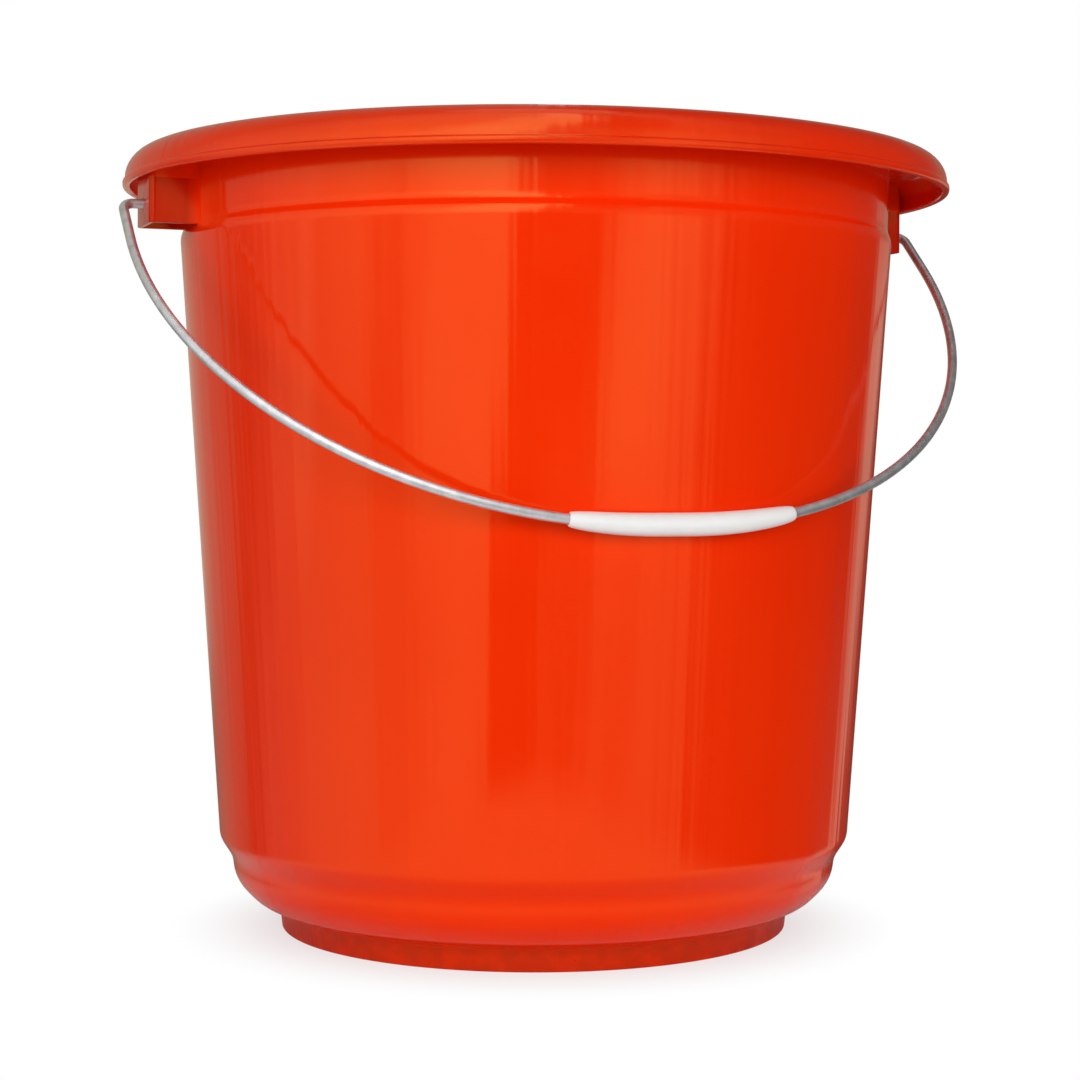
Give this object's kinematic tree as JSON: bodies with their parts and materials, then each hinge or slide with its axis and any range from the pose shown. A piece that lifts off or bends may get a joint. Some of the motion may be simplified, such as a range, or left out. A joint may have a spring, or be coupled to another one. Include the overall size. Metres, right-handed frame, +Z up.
{
  "type": "bucket",
  "caption": "Round tapered household bucket with a rolled rim, a stepped foot and a swinging wire bail with a plastic hand grip.",
  "frame": {"origin": "centre of the foot ring where the bucket stands", "axes": "+Z up along the bucket's axis, X through the two ears and the bail's hinge, -Y the side where the bail hangs"},
  "size_m": [0.3184, 0.31, 0.288],
  "materials": {
    "red_plastic": "glossy moulded",
    "zinc_wire": "zinc-coated drawn wire",
    "white_plastic": "smooth moulded"
  },
  "bodies": {
    "bucket": {"bucket_shell": "red_plastic"},
    "bail": {"bail_wire": "zinc_wire", "grip_sleeve": "white_plastic"}
  },
  "joints": [
    {"name": "bail_swing", "type": "hinge", "parent": "bucket", "child": "bail", "pos_m": [0, 0, 0.2656], "axis": [-1, 0, 0], "range_deg": [0, 261.1]}
  ]
}
